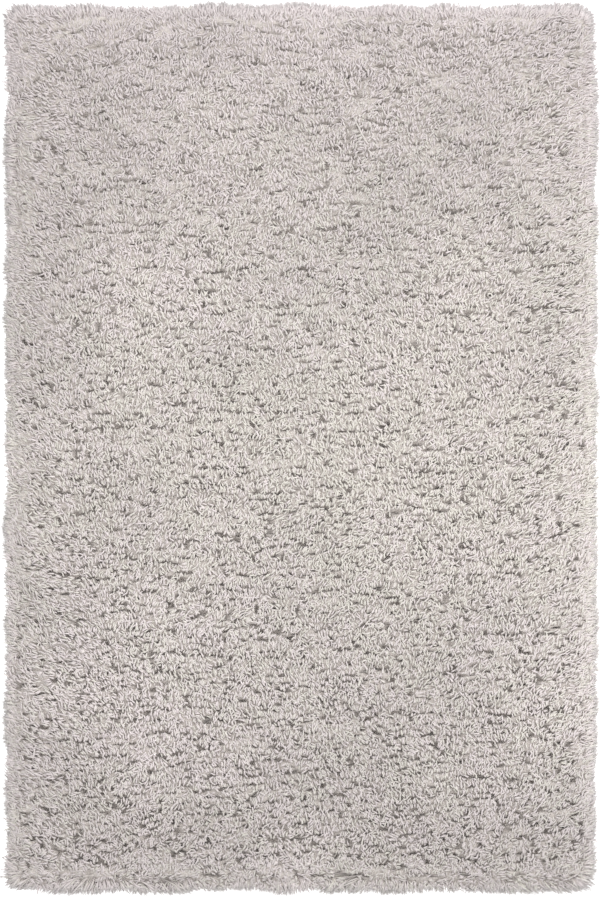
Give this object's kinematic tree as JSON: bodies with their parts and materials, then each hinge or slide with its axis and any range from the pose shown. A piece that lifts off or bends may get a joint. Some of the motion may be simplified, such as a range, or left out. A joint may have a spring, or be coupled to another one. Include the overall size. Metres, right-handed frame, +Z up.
{
  "type": "shag rug",
  "caption": "Rectangular shag rug with deep, clumped cut pile in pale greige yarn, rounded corners and a ragged rim where the yarn falls outwards.",
  "frame": {"origin": "middle of the rug's own box, on the floor under the rug", "axes": "+X across the rug, +Y along it towards the end that the nap leans to, which is the top of the picture, +Z up"},
  "size_m": [1.2424, 1.8528, 0.0455],
  "materials": {
    "pile_yarn": "matt cut yarn in two close shades, a pinkish greige and a greenish grey"
  },
  "bodies": {
    "root": {"shag_pile": "pile_yarn"}
  },
  "joints": []
}
